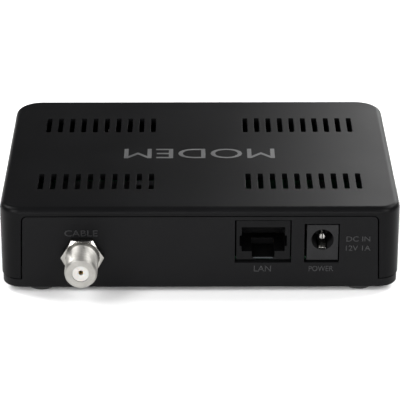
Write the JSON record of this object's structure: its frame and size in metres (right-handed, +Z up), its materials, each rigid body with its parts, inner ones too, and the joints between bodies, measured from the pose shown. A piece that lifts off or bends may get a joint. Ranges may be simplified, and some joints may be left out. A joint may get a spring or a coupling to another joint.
{
  "type": "cable modem",
  "caption": "Flat black cable modem with vented top, coaxial port, network socket and power socket on its rear panel.",
  "frame": {"origin": "on the ground, under the middle of the overall box, coaxial port included", "axes": "+Z up; +Y out of the rear connector panel; the front with the status lights faces -Y; +X to the right as seen from the front"},
  "size_m": [0.1144, 0.094, 0.0271],
  "materials": {
    "case_plastic": "fine satin moulded black",
    "socket_plastic": "black moulded, satin",
    "power_socket_plastic": "charcoal moulded, satin",
    "rubber": "matt black",
    "nickel_plate": "warm bright nickel plate",
    "gold_plate": "thin gold plate",
    "brass": "turned",
    "steel": "zinc plated",
    "dielectric": "white, smooth",
    "board": "green solder resist",
    "chip_plastic": "moulded epoxy",
    "aluminium_can": "satin",
    "clear_plastic": "clear, polished",
    "smoked_plastic": "smoked, polished",
    "light_body": "clear resin",
    "label_film": "silver-white film, blank"
  },
  "bodies": {
    "case": {"top_cover": "case_plastic", "base_tray": "case_plastic", "lan_jack_housing": "socket_plastic", "dc_jack_housing": "power_socket_plastic", "foot_front_left": "rubber", "foot_front_right": "rubber", "foot_rear_left": "rubber", "foot_rear_right": "rubber", "f_connector_body": "nickel_plate", "f_connector_nut": "nickel_plate", "dc_jack_pin": "nickel_plate", "f_connector_contact": "brass", "board_screw_1": "steel", "board_screw_2": "steel", "board_screw_3": "steel", "board_screw_4": "steel", "case_screw_1": "steel", "case_screw_2": "steel", "case_screw_3": "steel", "case_screw_4": "steel", "f_connector_insulator": "dielectric", "main_board": "board", "modem_chip": "chip_plastic", "memory_chip": "chip_plastic", "flash_chip": "chip_plastic", "lan_transformer": "chip_plastic", "power_inductor": "chip_plastic", "power_regulator": "chip_plastic", "tuner_shield": "aluminium_can", "crystal": "aluminium_can", "heat_sink": "aluminium_can", "capacitor_1": "aluminium_can", "capacitor_2": "aluminium_can", "capacitor_3": "aluminium_can", "light_pipe": "clear_plastic", "front_window": "smoked_plastic", "led_power": "light_body", "led_downstream": "light_body", "led_upstream": "light_body", "led_online": "light_body", "led_lan": "light_body", "rating_label": "label_film"},
    "lan_contacts": {"lan_contact_1": "gold_plate", "lan_contact_2": "gold_plate", "lan_contact_3": "gold_plate", "lan_contact_4": "gold_plate", "lan_contact_5": "gold_plate", "lan_contact_6": "gold_plate", "lan_contact_7": "gold_plate", "lan_contact_8": "gold_plate"},
    "dc_spring": {"dc_jack_spring": "nickel_plate"}
  },
  "joints": [
    {"name": "lan_contacts_flex", "type": "hinge", "parent": "case", "child": "lan_contacts", "pos_m": [-0.01807, 0.0308, 0.0206], "axis": [-1, 0, 0], "range_deg": [0, 12], "stiffness_Nm_per_rad": 0.25},
    {"name": "dc_spring_flex", "type": "hinge", "parent": "case", "child": "dc_spring", "pos_m": [-0.035, 0.02515, 0.01345], "axis": [-1, 0, 0], "range_deg": [0, 6], "stiffness_Nm_per_rad": 0.1}
  ]
}
